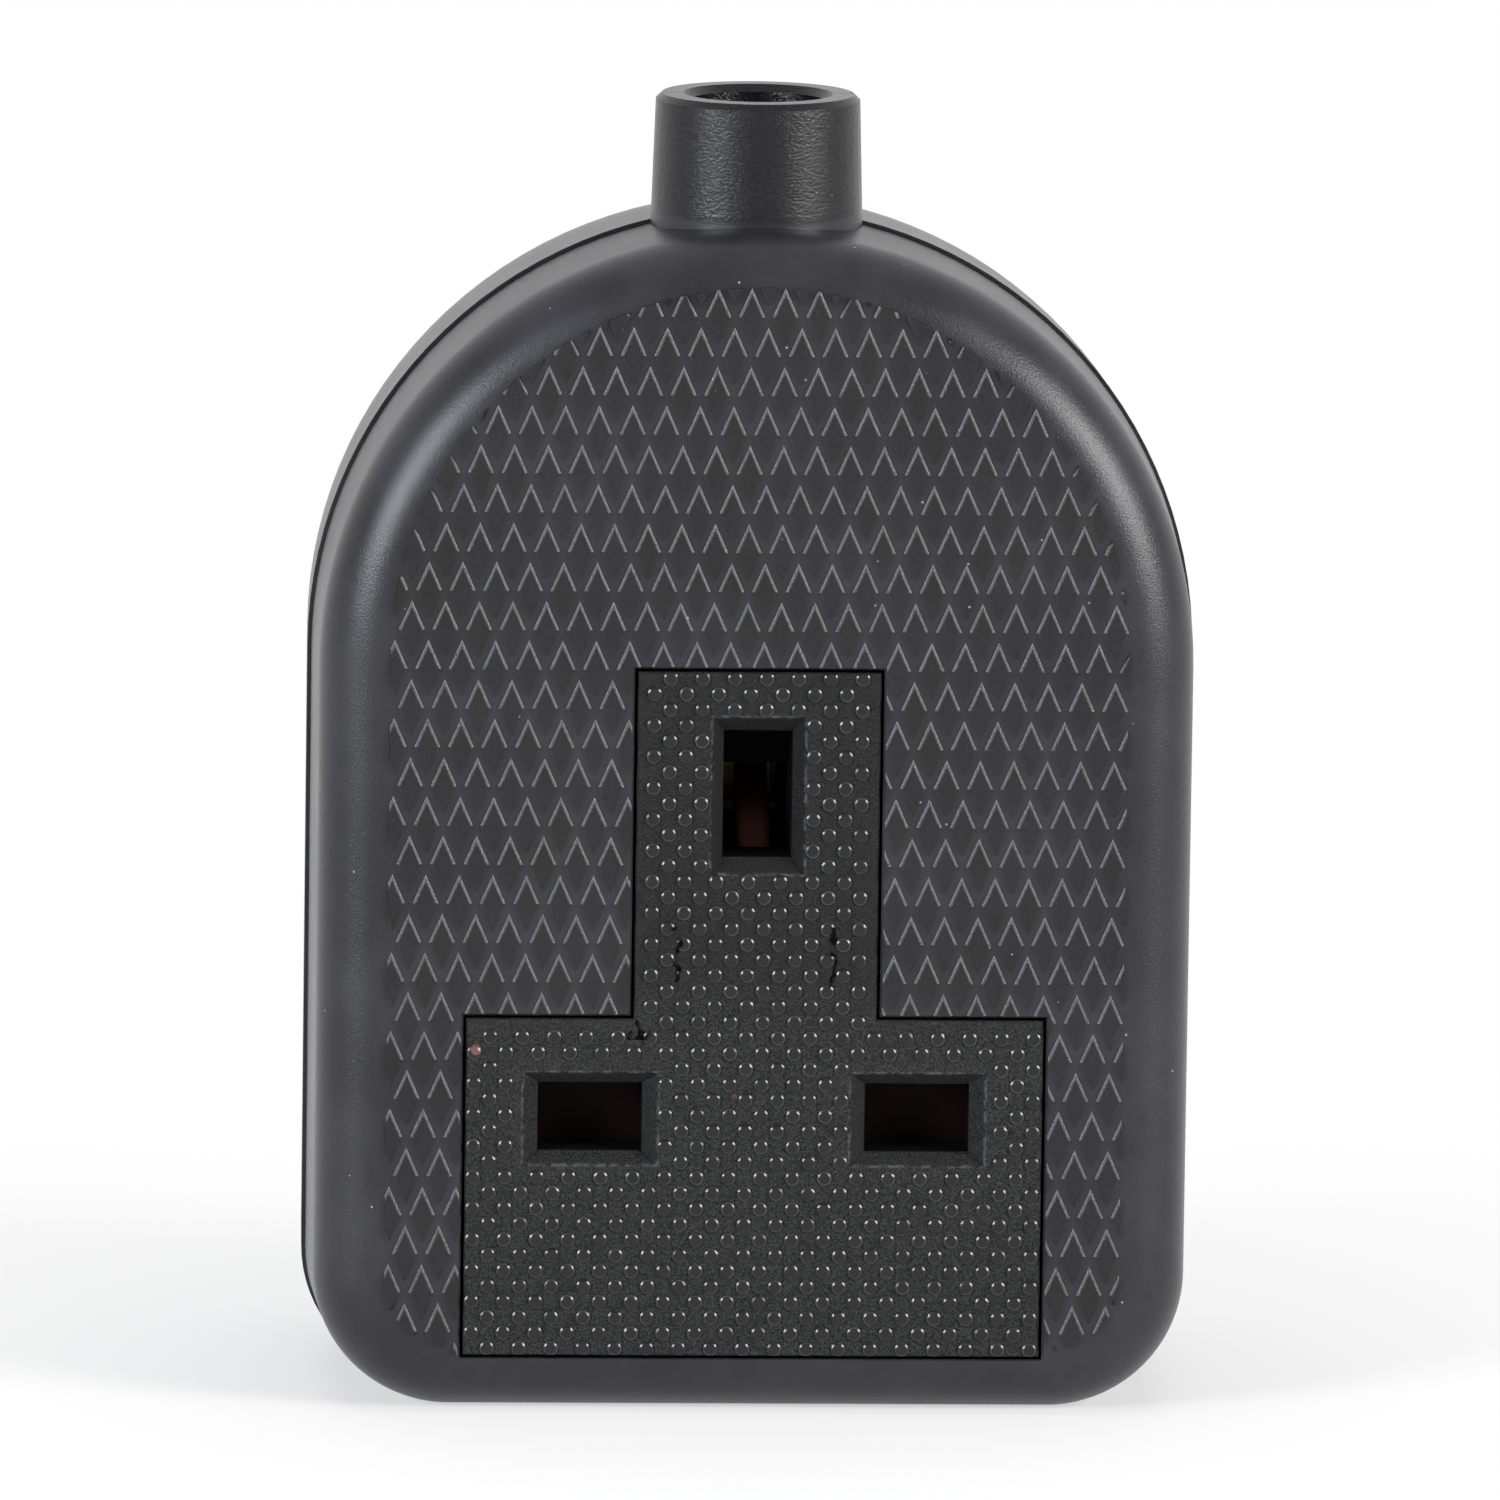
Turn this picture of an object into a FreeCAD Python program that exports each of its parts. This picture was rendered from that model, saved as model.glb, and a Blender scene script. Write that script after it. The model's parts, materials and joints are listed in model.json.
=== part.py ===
import FreeCAD, Part
import math
import os

from FreeCAD import Vector

# Heavy-duty one-gang trailing socket for three rectangular pins, in millimetres.
# It stands on its flat bottom end. X runs to the right, Y runs back from the face and Z runs
# up to the cord entry. The origin is the middle of the bottom end. A depth is measured back
# from the plane that the pads reach, and a rise is measured up from the line through the
# centres of the line and neutral slots.

# Casing
WIDTH = 60.0  # of the front cover at the parting line
BODY_HEIGHT = 80.9  # bottom end to the top of the arch
DEPTH = 40.0  # pads to the back
FRONT_DEPTH = 13.0  # pads to the parting line, which the cord's centre lies on
CORNER_R = 9.3  # bottom corners, seen from the front
FRONT_EDGE_R = 4.6  # rounding round the face
BACK_EDGE_R = 5.0  # rounding round the back
FRONT_DRAFT = 2.0  # degrees that the front cover narrows towards the face
SIDE_DRAFT = 1.5  # degrees that the back cover narrows as far as its shoulder
SIDE_LENGTH = 8.8  # from the back cover's edge to its shoulder
BACK_SLOPE = 15.0  # degrees that it narrows from the shoulder to the back
WALL = 2.2  # side walls of both covers
FACE_WALL = 2.75  # wall behind the face
BACK_WALL = 2.4  # wall at the back
INNER_R = 1.5  # rounding inside the covers
BACK_PROUD = 0.25  # how far the back cover's edge stands out past the front cover's
GROOVE_WIDTH = 0.45  # shadow groove along the parting line
GROOVE_DEPTH = 0.9
TONGUE_WALL = 1.0  # tongue of the back cover, inside the front cover's wall
TONGUE_REACH = 2.2
TONGUE_ROOT = 3.0
TONGUE_GAP = 0.3

# Cord entry
COLLAR_TOP = 89.0  # bottom end to the collar's rim
COLLAR_R = 6.95  # outside, at the rim
COLLAR_DRAFT = 0.38  # how much the collar's radius grows down to its foot
COLLAR_FOOT = 76.5  # where the collar ends inside the covers
COLLAR_BEVEL = 0.4
COLLAR_SPLIT = 0.1  # gap between the collar's halves
BORE_R = 4.6
BORE_BEVEL = 0.5

# Diamond pads on the face
PAD_RAISE = 0.25
PAD_WIDTH = 1.75
PAD_HEIGHT = 3.95
PAD_PITCH = 2.272  # across, along one row
PAD_ROW_PITCH = 2.679  # from a row to the next, which is shifted by half a pitch
PAD_SHIFT = -0.88  # from the middle of the face to the first pad
PAD_FIRST_RISE = 38.86
PAD_BORDER = 5.0  # plain margin beside the pads
PAD_BORDER_TOP = 3.55  # and above them
PAD_BEVEL = 0.18  # sloping edge of a pad, seen from the front
PAD_SINK = 0.4  # how deep a pad runs into the wall behind it

# Face moulding
SLOT_LINE = 20.4  # bottom end to the line through the line and neutral slots
PIN_SPREAD = 22.23  # between the line and neutral slots, centre to centre
EARTH_RISE = 22.23  # from that line up to the earth slot's centre
SLOT_LONG = 7.1
SLOT_SHORT = 4.7
EARTH_SLOT_LONG = 8.7
EARTH_SLOT_SHORT = 4.7
LEAD_ENDS = 1.05  # sloping lead-in at a slot's two ends
LEAD_SIDES = 0.85  # and along its two sides
LEAD_DEPTH = 1.0
STEM_WIDTH = 16.5
FOOT_WIDTH = 39.2
FACE_TOP = 30.68  # rise of the stem's top
FACE_SHOULDER = 6.86  # rise of the foot's top
FACE_DROP = 16.33  # from the slot line down to the foot's bottom
WINDOW_GAP = 0.2  # between the face moulding and the front cover's window
WINDOW_BEVEL = 0.15  # on the window's edge
FACE_BEVEL = 0.1  # on the face moulding's edge
FLANGE_LAP = 1.8  # how far the flange reaches behind the front cover
FLANGE_DEPTH = 8.0  # depth of the flange's back
POCKET_DEPTH = 5.6  # depth of the shutter pocket's floor

# Shutter
PLAY = 0.3  # between the shutter and what it slides past
STOP_GAP = 0.1  # above the shutter at rest
SHUTTER_THICK = 1.8
SHUTTER_COVER = 0.55  # how far the closed shutter passes a slot's edge
SHUTTER_STEM_WIDTH = 6.0
RAMP_WIDTH = 2.2
RAMP_TIP = 0.5  # flat at the ramp's top
PIN_THICK = 4.0
EARTH_PIN_LONG = 8.0
PIN_CLEARANCE = 0.1  # between the earth pin and the ramp that it holds down
WING_CLEARANCE = 0.3  # between the line and neutral pins and the open shutter
HUB_WIDTH = 4.4
HUB_DEPTH = 10.0  # depth of the hub's back, which the spring pushes on

# Spring under the shutter
SPRING_R = 1.7  # outside
SPRING_WIRE = 0.45  # diameter
SPRING_TURNS = 6
SPRING_SIDES = 8  # flats that stand for the round wire
SPRING_LENGTH = 10.2  # as it stands in the socket
SPRING_SEAT_GAP = 0.05

# Contact base
BASE_PLATE = 2.0
BASE_DEPTH = 24.5  # depth of the base's back
BASE_WALL = 1.8
CHAMBER = 8.0  # inside width of a contact's chamber
EARTH_CHAMBER_LONG = 9.6
CHAMBER_WALL = 1.5
RIB_WALL = 1.5  # round the spring's channel
SEAT = 3.0  # how deep a terminal sits in its chamber

# Contacts and terminals
LEAF = 0.8  # brass
LEAF_WIDTH = 6.0
LEAF_SQUEEZE = 0.1  # how much closer than a pin the leaves stand
LIP_SPREAD = 0.85  # how far each lip opens
LIP_LENGTH = 2.2
CONTACT_START = 10.4
EARTH_CONTACT_START = 12.6
CONTACT_BACK = 21.3
EARTH_CONTACT_BACK = 24.0
CLIP = 0.5  # steel
CLIP_LENGTH = 4.0
CLIP_FIT = 0.03
TERMINAL = 7.6  # across
TERMINAL_LENGTH = 8.0
WIRE_BORE_R = 1.8
WIRE_BORE_BACK = 3.2  # from the terminal's front to its bore
THREAD_FIT = 0.05

# Screws and inserts
SCREW_INSET = 9.04  # from the casing's edge to the casing screws
UPPER_SCREW_ANGLE = 38.0  # degrees from level, about the arch's centre
LOWER_SCREW_GAP = 2.5  # between a lower boss and the flange below it
BOSS_R = 3.8
TUBE_R = 4.6
COUNTERBORE_R = 3.5
COUNTERBORE_FLOOR = 22.0  # depth of the casing screws' heads
CASING_SCREW_R = 1.75
CASING_SCREW_LENGTH = 14.0
CASING_HEAD_R = 3.1
INSERT_R = 2.4
INSERT_LENGTH = 6.0
HEAD_HEIGHT = 2.2
DRIVER_SLOT = 0.8
DRIVER_SLOT_DEPTH = 1.0
TERMINAL_SCREW_R = 1.95
TERMINAL_HEAD_R = 3.0
BASE_SCREW_R = 1.2
BASE_SCREW_WALL = 1.2  # between these screws and the shutter's pocket
BASE_SCREW_LENGTH = 7.4
BASE_HEAD_R = 2.1
BASE_BOSS_R = 2.4
BASE_BOSS_TOP = 12.0
CLAMP_DROP = 10.4  # from the arch's top down to the clamp
CLAMP_BOSS_R = 3.0
CLAMP_CORD_R = 4.9  # cord that the clamp's saddle fits
CLAMP_SIDE_GAP = 1.6  # between the cord and the clamp's bosses
CLAMP_THICK = 3.4
CLAMP_BITE = 1.3  # how deep the saddle is
CLAMP_HEIGHT = 7.0
CLAMP_SCREW_R = 1.45
CLAMP_SCREW_LENGTH = 10.0
CLAMP_HEAD_R = 2.7
SADDLE_RIB = 1.5
SADDLE_RIB_SPACING = 4.5
PRESS_RIB_LENGTH = 12.0
EPS = 0.5  # overrun of a cutting tool

# Worked out from the sizes above
ARCH_Z = BODY_HEIGHT - WIDTH / 2
PARTING_Y = FRONT_DEPTH - DEPTH / 2
FRONT_NARROW = (FRONT_DEPTH - PAD_RAISE) * math.tan(math.radians(FRONT_DRAFT))
BACK_LIP = FRONT_DEPTH + GROOVE_WIDTH
BACK_SHOULDER = BACK_LIP + SIDE_LENGTH
SIDE_NARROW = SIDE_LENGTH * math.tan(math.radians(SIDE_DRAFT))
CAVITY_DEPTH = PAD_RAISE + FACE_WALL
SHUTTER_FRONT = POCKET_DEPTH + PLAY
SHUTTER_BACK = SHUTTER_FRONT + SHUTTER_THICK
SHUTTER_HALF = PIN_SPREAD / 2 + SLOT_LONG / 2 + SHUTTER_COVER + PLAY
SHUTTER_TOP = SLOT_SHORT / 2 + SHUTTER_COVER
SHUTTER_BOTTOM = -SHUTTER_TOP
SHUTTER_TRAVEL = SHUTTER_TOP + PIN_THICK / 2 + WING_CLEARANCE
RAMP_FOOT = EARTH_RISE - EARTH_PIN_LONG / 2 - PIN_CLEARANCE
RAMP_TOP = RAMP_FOOT + SHUTTER_TRAVEL
SPRING_DEPTH = (SHUTTER_FRONT + HUB_DEPTH) / 2
SPRING_TOP = SHUTTER_BOTTOM - SPRING_SEAT_GAP
SPRING_BOTTOM = SPRING_TOP - SPRING_LENGTH
CHAMBER_OUT = CHAMBER / 2 + CHAMBER_WALL
LEAF_SPACE = PIN_THICK - LEAF_SQUEEZE
BASE_SCREW_X = PIN_SPREAD / 2
BASE_SCREW_RISE = SHUTTER_BOTTOM - SHUTTER_TRAVEL - PLAY - BASE_SCREW_WALL - BASE_SCREW_R
CLAMP_Z = BODY_HEIGHT - CLAMP_DROP
CLAMP_X = CLAMP_CORD_R + CLAMP_SIDE_GAP + CLAMP_BOSS_R
CLAMP_SEAT = FRONT_DEPTH + CLAMP_CORD_R - CLAMP_BITE


def y_at(depth):
    """Y of the plane that lies this far behind the pads."""
    return depth - DEPTH / 2


def z_at(rise):
    """Z of a point this far above the slot line."""
    return SLOT_LINE + rise


def block(x0, x1, depth0, depth1, z0, z1):
    """Box between two X, two depths and two Z."""
    return Part.makeBox(x1 - x0, depth1 - depth0, z1 - z0, Vector(x0, y_at(depth0), z0))


def rod(x, z, radius, depth0, depth1):
    """Cylinder that runs back from one depth to another."""
    return Part.makeCylinder(radius, depth1 - depth0, Vector(x, y_at(depth0), z), Vector(0, 1, 0))


def at_depth(points, depth):
    """Points given as X and Z, put in the plane at a depth."""
    return [Vector(x, y_at(depth), z) for x, z in points]


def polygon_face(corners):
    """Flat face with straight sides."""
    return Part.Face(Part.makePolygon(corners + corners[:1]))


def prism(points, depth0, depth1):
    """Solid with a straight-sided outline, given as X and Z, between two depths."""
    return polygon_face(at_depth(points, depth0)).extrude(Vector(0, depth1 - depth0, 0))


def tapered(rings):
    """Flat-sided solid through parallel outlines that have as many corners as each other."""
    faces = [polygon_face(rings[0]), polygon_face(rings[-1])]
    for front, back in zip(rings, rings[1:]):
        for i in range(len(front)):
            faces.append(polygon_face([front[i - 1], front[i], back[i], back[i - 1]]))
    return Part.Solid(Part.Shell(faces))


def both_sides(shape):
    """The shape and its mirror image across the middle of the socket."""
    return shape.fuse(shape.mirror(Vector(0, 0, 0), Vector(1, 0, 0)))


def casing_outline(depth, inset, bottom, arch_lift=0):
    """Outline of the casing at a depth: two round corners, a round arch, and a foot to trim."""
    y = y_at(depth)
    half = WIDTH / 2 - inset
    radius = CORNER_R - bottom
    diagonal = radius * (1 - math.sqrt(0.5))
    corner_x = half - radius
    corner_z = bottom + radius
    side_r = Vector(half, y, corner_z)
    side_l = Vector(-half, y, corner_z)
    foot_r = Vector(corner_x, y, bottom)
    foot_l = Vector(-corner_x, y, bottom)
    trim_r = Vector(corner_x, y, bottom - EPS)
    trim_l = Vector(-corner_x, y, bottom - EPS)
    arch_z = ARCH_Z + arch_lift
    spring_r = Vector(half, y, arch_z)
    spring_l = Vector(-half, y, arch_z)
    bend_r = Vector(half - diagonal, y, bottom + diagonal)
    bend_l = Vector(-half + diagonal, y, bottom + diagonal)
    return Part.Wire([
        Part.makeLine(trim_l, trim_r),
        Part.makeLine(trim_r, foot_r),
        Part.Arc(foot_r, bend_r, side_r).toShape(),
        Part.makeLine(side_r, spring_r),
        Part.Arc(spring_r, Vector(0, y, arch_z + half), spring_l).toShape(),
        Part.makeLine(spring_l, side_l),
        Part.Arc(side_l, bend_l, foot_l).toShape(),
        Part.makeLine(foot_l, trim_l),
    ])


def casing_body(depth0, inset0, depth1, inset1, bottom):
    """Solid between two outlines of the casing, trimmed to one flat bottom."""
    first = casing_outline(depth0, inset0, bottom)
    last = casing_outline(depth1, inset1, bottom)
    body = Part.makeLoft([first, last], True, True)
    return body.cut(block(-WIDTH, WIDTH, depth0 - EPS, depth1 + EPS, bottom - 2 * EPS, bottom))


def round_end(shape, depth, radius):
    """Rounds every edge that lies in the plane at this depth."""
    y = y_at(depth)
    edges = [edge for edge in shape.Edges if all(abs(v.Y - y) < 1e-6 for v in edge.Vertexes)]
    return shape.makeFillet(radius, edges)


def tee(grow):
    """T-shaped outline of the face moulding, as X and Z, grown by a margin on every side."""
    stem = STEM_WIDTH / 2 + grow
    foot = FOOT_WIDTH / 2 + grow
    bottom = z_at(-FACE_DROP - grow)
    shoulder = z_at(FACE_SHOULDER + grow)
    top = z_at(FACE_TOP + grow)
    return [(-foot, bottom), (foot, bottom), (foot, shoulder), (stem, shoulder),
            (stem, top), (-stem, top), (-stem, shoulder), (-foot, shoulder)]


def lapped_tee(lap):
    """The T widened at its sides and top only, because the casing's bottom wall is close."""
    floor = z_at(-FACE_DROP)
    return [(x, max(z, floor)) for x, z in tee(lap)]


def slots():
    """Middle, width and height of the neutral, line and earth slots, from the front."""
    return [
        (-PIN_SPREAD / 2, z_at(0), SLOT_LONG, SLOT_SHORT),
        (PIN_SPREAD / 2, z_at(0), SLOT_LONG, SLOT_SHORT),
        (0, z_at(EARTH_RISE), EARTH_SLOT_SHORT, EARTH_SLOT_LONG),
    ]


def rectangle(x, z, width, height):
    """Corners of a rectangle about a point, as X and Z."""
    return [(x + i * width / 2, z + j * height / 2) for i, j in ((-1, -1), (1, -1), (1, 1), (-1, 1))]


def slot_cut(x, z, width, height, depth1):
    """Slot with its lead-in, from the face to a depth."""
    run_on = 1 + EPS / LEAD_DEPTH
    grow_x = 2 * run_on * (LEAD_ENDS if width > height else LEAD_SIDES)
    grow_z = 2 * run_on * (LEAD_ENDS if height > width else LEAD_SIDES)
    throat = rectangle(x, z, width, height)
    mouth = rectangle(x, z, width + grow_x, height + grow_z)
    return tapered([at_depth(mouth, PAD_RAISE - EPS), at_depth(throat, PAD_RAISE + LEAD_DEPTH),
                    at_depth(throat, depth1)])


def collar():
    """Whole collar round the cord, solid, from inside the casing up to its rim."""
    foot = Vector(0, PARTING_Y, COLLAR_FOOT)
    height = COLLAR_TOP - COLLAR_FOOT
    body = Part.makeCone(COLLAR_R + COLLAR_DRAFT, COLLAR_R, height, foot, Vector(0, 0, 1))
    rim = [edge for edge in body.Edges if abs(edge.BoundBox.ZMin - COLLAR_TOP) < 1e-6]
    return body.makeChamfer(COLLAR_BEVEL, rim)


def collar_bore():
    """Hole for the cord, through the collar and the wall, with a bevelled mouth."""
    length = COLLAR_TOP - COLLAR_FOOT + 2 * EPS
    foot = Vector(0, PARTING_Y, COLLAR_FOOT - EPS)
    hole = Part.makeCylinder(BORE_R, length, foot, Vector(0, 0, 1))
    mouth_foot = Vector(0, PARTING_Y, COLLAR_TOP - BORE_BEVEL)
    mouth = Part.makeCone(BORE_R, BORE_R + 2 * BORE_BEVEL, 2 * BORE_BEVEL, mouth_foot, Vector(0, 0, 1))
    return hole.fuse(mouth)


def half_space(depth0, depth1):
    """Big box that holds all of the socket between two depths."""
    return block(-WIDTH, WIDTH, depth0, depth1, -EPS, COLLAR_TOP + EPS)


def casing_screw_places():
    """X and Z of the four casing screws."""
    reach = WIDTH / 2 - SCREW_INSET
    angle = math.radians(UPPER_SCREW_ANGLE)
    upper = (reach * math.cos(angle), ARCH_Z + reach * math.sin(angle))
    lower = (reach, z_at(FACE_SHOULDER + FLANGE_LAP + LOWER_SCREW_GAP + TUBE_R))
    return [(side * x, z) for x, z in (upper, lower) for side in (-1, 1)]


def diamond(scale):
    """Corners of a pad's outline about the middle of the bottom end, as X and Z."""
    half_w = scale * PAD_WIDTH / 2
    half_h = scale * PAD_HEIGHT / 2
    return [(0, half_h), (half_w, 0), (0, -half_h), (-half_w, 0)]


def pads():
    """Diamond pads of the face, cut off at the plain border and at the T-shaped window."""
    side = math.hypot(PAD_WIDTH, PAD_HEIGHT)
    top_scale = 1 - 2 * PAD_BEVEL * side / (PAD_WIDTH * PAD_HEIGHT)
    root = PAD_RAISE + PAD_SINK
    pad = tapered([at_depth(diamond(top_scale), 0), at_depth(diamond(1), PAD_RAISE), at_depth(diamond(1), root)])
    columns = math.ceil(WIDTH / PAD_PITCH)
    rows = math.ceil(BODY_HEIGHT / PAD_ROW_PITCH)
    placed = []
    for row in range(-rows, rows):
        z = z_at(PAD_FIRST_RISE - row * PAD_ROW_PITCH)
        for column in range(-columns, columns):
            x = PAD_SHIFT + (column + row % 2 / 2) * PAD_PITCH
            if 0 < z < BODY_HEIGHT and abs(x) < WIDTH / 2:
                placed.append(pad.translated(Vector(x, 0, z)))
    lift = PAD_BORDER - PAD_BORDER_TOP
    border = Part.Face(casing_outline(-EPS, PAD_BORDER, z_at(-FACE_DROP) + EPS, lift))
    field = border.extrude(Vector(0, EPS + root, 0))
    field = field.cut(prism(tee(WINDOW_GAP + WINDOW_BEVEL), -EPS, root + EPS))
    return Part.makeCompound(placed).common(field).Solids


def front_cover():
    """Front shell with the pads, the window, four bosses, the clamp's seat and half the collar."""
    outer = casing_body(PAD_RAISE, FRONT_NARROW, FRONT_DEPTH, 0, 0)
    outer = round_end(outer, PAD_RAISE, FRONT_EDGE_R)
    cavity = casing_body(CAVITY_DEPTH, FRONT_NARROW + WALL, FRONT_DEPTH + EPS, WALL, WALL)
    cavity = round_end(cavity, CAVITY_DEPTH, INNER_R)
    shell = outer.cut(cavity)
    shell = shell.fuse(collar().common(half_space(-EPS, FRONT_DEPTH - COLLAR_SPLIT / 2)))
    inner = PAD_RAISE + FACE_WALL / 2
    for x, z in casing_screw_places():
        shell = shell.fuse(rod(x, z, BOSS_R, inner, FRONT_DEPTH - COLLAR_SPLIT / 2))
    shell = shell.fuse(both_sides(rod(CLAMP_X, CLAMP_Z, CLAMP_BOSS_R, inner, CLAMP_SEAT)))
    for side in (-1, 1):
        z = CLAMP_Z + side * SADDLE_RIB_SPACING / 2
        shell = shell.fuse(block(-CLAMP_X, CLAMP_X, inner, FRONT_DEPTH - COLLAR_SPLIT / 2,
                                 z - SADDLE_RIB / 2, z + SADDLE_RIB / 2))
    cord_foot = Vector(0, PARTING_Y, CLAMP_Z - CLAMP_HEIGHT)
    cord_space = Part.makeCylinder(CLAMP_CORD_R, 2 * CLAMP_HEIGHT, cord_foot, Vector(0, 0, 1))
    cord_space = cord_space.common(half_space(0, FRONT_DEPTH + EPS))
    cord_space = cord_space.cut(block(-WIDTH, WIDTH, 0, DEPTH, COLLAR_FOOT - EPS, COLLAR_TOP))
    shell = shell.cut(cord_space)
    shell = shell.cut(collar_bore())
    shell = shell.cut(prism(tee(WINDOW_GAP), -EPS, CAVITY_DEPTH + EPS))
    mouth = at_depth(tee(WINDOW_GAP + WINDOW_BEVEL + EPS), PAD_RAISE - EPS)
    throat = at_depth(tee(WINDOW_GAP), PAD_RAISE + WINDOW_BEVEL)
    shell = shell.cut(tapered([mouth, throat]))
    for x, z in casing_screw_places():
        shell = shell.cut(rod(x, z, INSERT_R + THREAD_FIT, FRONT_DEPTH - INSERT_LENGTH - EPS, FRONT_DEPTH))
    for side in (-1, 1):
        hole_r = CLAMP_SCREW_R + THREAD_FIT
        bottom = CLAMP_SEAT + CLAMP_THICK - CLAMP_SCREW_LENGTH - EPS
        shell = shell.cut(rod(side * CLAMP_X, CLAMP_Z, hole_r, bottom, CLAMP_SEAT + EPS))
    return shell.multiFuse(pads())


def back_form(front, inset, end, bottom, radius):
    """Form of the back cover between two depths: upright sides, a shoulder and sloping sides."""
    shoulder_inset = inset + SIDE_NARROW
    end_inset = shoulder_inset + (end - BACK_SHOULDER) * math.tan(math.radians(BACK_SLOPE))
    sides = casing_body(front, inset, BACK_SHOULDER, shoulder_inset, bottom)
    slope = casing_body(BACK_SHOULDER, shoulder_inset, end, end_inset, bottom)
    return sides.fuse(round_end(slope, end, radius)).removeSplitter()


def back_cover():
    """Back shell with the tongue, four screw tubes, two ribs on the base and half the collar."""
    outer = back_form(BACK_LIP, -BACK_PROUD, DEPTH, 0, BACK_EDGE_R)
    cavity = back_form(FRONT_DEPTH - EPS, WALL - BACK_PROUD, DEPTH - BACK_WALL, WALL, INNER_R)
    neck = casing_body(FRONT_DEPTH, GROOVE_DEPTH, BACK_LIP + EPS, GROOVE_DEPTH, GROOVE_DEPTH)
    shell = outer.fuse(neck).cut(cavity)
    tongue_out = WALL + TONGUE_GAP
    tongue_in = tongue_out + TONGUE_WALL
    tip = FRONT_DEPTH - TONGUE_REACH
    root = FRONT_DEPTH + TONGUE_ROOT
    ring = casing_body(tip, tongue_out, FRONT_DEPTH, tongue_out, tongue_out)
    ring = ring.fuse(casing_body(FRONT_DEPTH, GROOVE_DEPTH + EPS, root, GROOVE_DEPTH + EPS, GROOVE_DEPTH + EPS))
    ring = ring.cut(casing_body(tip - EPS, tongue_in, root + EPS, tongue_in, tongue_in))
    collar_space = COLLAR_R + COLLAR_DRAFT + TONGUE_GAP
    ring = ring.cut(block(-collar_space, collar_space, tip - EPS, FRONT_DEPTH, ARCH_Z, COLLAR_TOP))
    shell = shell.fuse(ring)
    shell = shell.fuse(collar().common(half_space(FRONT_DEPTH + COLLAR_SPLIT / 2, DEPTH)))
    for x, z in casing_screw_places():
        tube = rod(x, z, TUBE_R, BACK_LIP, DEPTH - BACK_WALL / 2).common(outer)
        shell = shell.fuse(tube).fuse(rod(x, z, TUBE_R, FRONT_DEPTH + COLLAR_SPLIT / 2, BACK_LIP))
    rib_x = FOOT_WIDTH / 2 + FLANGE_LAP - BASE_WALL
    rib = block(rib_x, rib_x + BASE_WALL, BASE_DEPTH, DEPTH - BACK_WALL / 2,
                z_at(-PRESS_RIB_LENGTH / 2), z_at(PRESS_RIB_LENGTH / 2))
    shell = shell.fuse(both_sides(rib))
    shell = shell.cut(collar_bore())
    for x, z in casing_screw_places():
        shell = shell.cut(rod(x, z, COUNTERBORE_R, COUNTERBORE_FLOOR, DEPTH + EPS))
        shell = shell.cut(rod(x, z, CASING_SCREW_R + 2 * THREAD_FIT, FRONT_DEPTH - EPS, COUNTERBORE_FLOOR + EPS))
    return shell


def shutter_pocket(depth0, depth1):
    """Space that the shutter's wings and stem sweep, and the spring's channel under them."""
    half = SHUTTER_HALF + PLAY
    stem = SHUTTER_STEM_WIDTH / 2 + PLAY
    floor = z_at(SHUTTER_BOTTOM - SHUTTER_TRAVEL - PLAY)
    wings_top = z_at(SHUTTER_TOP + STOP_GAP)
    wings = block(-half, half, depth0, depth1, floor, wings_top)
    shaft = block(-stem, stem, depth0, depth1, floor, z_at(RAMP_TOP + PLAY))
    return wings.fuse(shaft).fuse(spring_channel(depth0, depth1))


def spring_channel(depth0, depth1):
    """Channel that guides the shutter's hub and its spring."""
    half = HUB_WIDTH / 2 + PLAY
    floor = z_at(SPRING_BOTTOM - SPRING_SEAT_GAP)
    return block(-half, half, depth0, depth1, floor, z_at(SHUTTER_TOP + STOP_GAP))


def socket_face():
    """Face moulding: the T with its three slots, and the flange that holds the shutter."""
    body = tapered([at_depth(tee(-FACE_BEVEL), PAD_RAISE), at_depth(tee(0), PAD_RAISE + FACE_BEVEL),
                    at_depth(tee(0), CAVITY_DEPTH + EPS)])
    body = body.fuse(prism(lapped_tee(FLANGE_LAP), CAVITY_DEPTH, FLANGE_DEPTH))
    body = body.cut(shutter_pocket(POCKET_DEPTH, FLANGE_DEPTH + EPS))
    for x, z, width, height in slots():
        body = body.cut(slot_cut(x, z, width, height, POCKET_DEPTH + EPS))
    for side in (-1, 1):
        bottom = BASE_BOSS_TOP - BASE_SCREW_LENGTH - EPS
        hole = rod(side * BASE_SCREW_X, z_at(BASE_SCREW_RISE), BASE_SCREW_R + THREAD_FIT, bottom, FLANGE_DEPTH)
        body = body.cut(hole)
    return body


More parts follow.
